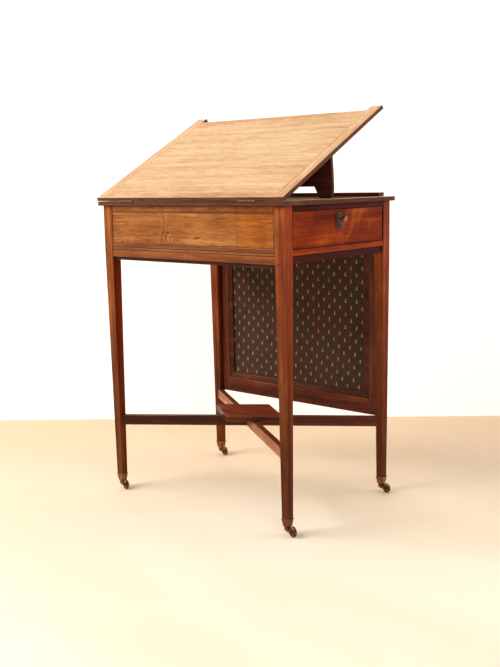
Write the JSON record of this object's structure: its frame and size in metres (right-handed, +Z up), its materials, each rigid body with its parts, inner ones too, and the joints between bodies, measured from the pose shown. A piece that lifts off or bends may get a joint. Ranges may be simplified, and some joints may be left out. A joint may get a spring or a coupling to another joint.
{
  "type": "sewing table",
  "caption": "Wooden sewing and reading table with hinged slope on a folding prop, rising fabric screen, side drawer, work-bag slide, crossed stretcher and brass castors.",
  "frame": {"origin": "on the floor, under the middle of the case", "axes": "+X along the hinged front edge, towards the drawer front; +Y towards the rising screen; +Z up"},
  "size_m": [0.59, 0.4206, 0.9264],
  "materials": {
    "mahogany": "polished",
    "figured_mahogany": "polished",
    "faded_mahogany": "satin",
    "dark_mahogany": "polished",
    "red_mahogany": "polished",
    "drawer_lining": "matt",
    "pine": "matt",
    "sprig_cloth": "woven",
    "brass": "aged",
    "castor_brass": "aged"
  },
  "bodies": {
    "table": {"leg_front_left": "mahogany", "leg_front_right": "mahogany", "leg_back_left": "mahogany", "leg_back_right": "mahogany", "front_frieze": "figured_mahogany", "front_rail": "mahogany", "front_beading": "figured_mahogany", "left_frieze": "mahogany", "case_back": "pine", "right_top_rail": "mahogany", "drawer_rail": "mahogany", "runner_front": "pine", "runner_back": "pine", "top_front": "mahogany", "top_left": "mahogany", "top_right": "mahogany", "well_floor": "pine", "stretcher_over": "mahogany", "stretcher_under": "mahogany", "platform": "mahogany", "castor_cap_front_left": "castor_brass", "castor_cap_front_right": "castor_brass", "castor_cap_back_left": "castor_brass", "castor_cap_back_right": "castor_brass", "case_hinges": "brass", "prop_brackets": "brass", "prop_pins": "brass"},
    "slope": {"slope_board": "faded_mahogany", "slope_band_front": "faded_mahogany", "slope_band_back": "faded_mahogany", "slope_clamp_left": "faded_mahogany", "slope_clamp_right": "faded_mahogany", "slope_batten": "dark_mahogany", "slope_hinge_leaves": "brass"},
    "prop": {"prop_board": "dark_mahogany"},
    "screen": {"screen_cap": "dark_mahogany", "screen_top_rail": "dark_mahogany", "screen_bottom_rail": "dark_mahogany", "screen_stile_left": "dark_mahogany", "screen_stile_right": "dark_mahogany", "screen_beading": "dark_mahogany", "screen_cloth": "sprig_cloth"},
    "drawer": {"drawer_front": "red_mahogany", "drawer_side_front": "drawer_lining", "drawer_side_back": "drawer_lining", "drawer_end": "drawer_lining", "drawer_bottom": "drawer_lining", "drawer_knob": "brass"},
    "bag_slide": {"bag_front": "dark_mahogany", "bag_side_front": "dark_mahogany", "bag_side_back": "dark_mahogany", "bag_end": "dark_mahogany"},
    "castor_front_left": {"castor_horn_front_left": "castor_brass"},
    "wheel_front_left": {"castor_wheel_front_left": "castor_brass"},
    "castor_front_right": {"castor_horn_front_right": "castor_brass"},
    "wheel_front_right": {"castor_wheel_front_right": "castor_brass"},
    "castor_back_left": {"castor_horn_back_left": "castor_brass"},
    "wheel_back_left": {"castor_wheel_back_left": "castor_brass"},
    "castor_back_right": {"castor_horn_back_right": "castor_brass"},
    "wheel_back_right": {"castor_wheel_back_right": "castor_brass"}
  },
  "joints": [
    {"name": "slope_hinge", "type": "hinge", "parent": "table", "child": "slope", "pos_m": [0, -0.2085, 0.72015], "axis": [1, 0, 0], "range_deg": [-28.5, 0]},
    {"name": "prop_fold", "type": "hinge", "parent": "table", "child": "prop", "pos_m": [0, 0.018, 0.711], "axis": [1, 0, 0], "range_deg": [-80, 0]},
    {"name": "screen_rise", "type": "slide", "parent": "table", "child": "screen", "axis": [0, 0, 1], "range_m": [0, 0.33]},
    {"name": "drawer_slide", "type": "slide", "parent": "table", "child": "drawer", "axis": [1, 0, 0], "range_m": [0, 0.3]},
    {"name": "bag_slide_out", "type": "slide", "parent": "table", "child": "bag_slide", "axis": [1, 0, 0], "range_m": [0, 0.25]},
    {"name": "swivel_front_left", "type": "hinge", "parent": "table", "child": "castor_front_left", "pos_m": [-0.268, -0.186, 0.018], "axis": [0, 0, 1], "continuous": true},
    {"name": "roll_front_left", "type": "hinge", "parent": "castor_front_left", "child": "wheel_front_left", "pos_m": [-0.24827, -0.19318, 0.0115], "axis": [0.342, 0.9397, 0], "continuous": true},
    {"name": "swivel_front_right", "type": "hinge", "parent": "table", "child": "castor_front_right", "pos_m": [0.268, -0.186, 0.018], "axis": [0, 0, 1], "continuous": true},
    {"name": "roll_front_right", "type": "hinge", "parent": "castor_front_right", "child": "wheel_front_right", "pos_m": [0.28773, -0.19318, 0.0115], "axis": [0.342, 0.9397, 0], "continuous": true},
    {"name": "swivel_back_left", "type": "hinge", "parent": "table", "child": "castor_back_left", "pos_m": [-0.268, 0.186, 0.018], "axis": [0, 0, 1], "continuous": true},
    {"name": "roll_back_left", "type": "hinge", "parent": "castor_back_left", "child": "wheel_back_left", "pos_m": [-0.24827, 0.17882, 0.0115], "axis": [0.342, 0.9397, 0], "continuous": true},
    {"name": "swivel_back_right", "type": "hinge", "parent": "table", "child": "castor_back_right", "pos_m": [0.268, 0.186, 0.018], "axis": [0, 0, 1], "continuous": true},
    {"name": "roll_back_right", "type": "hinge", "parent": "castor_back_right", "child": "wheel_back_right", "pos_m": [0.28773, 0.17882, 0.0115], "axis": [0.342, 0.9397, 0], "continuous": true}
  ],
  "couplings": [
    {"joint": "prop_fold", "follows": "slope_hinge", "ratio": 2.807}
  ]
}
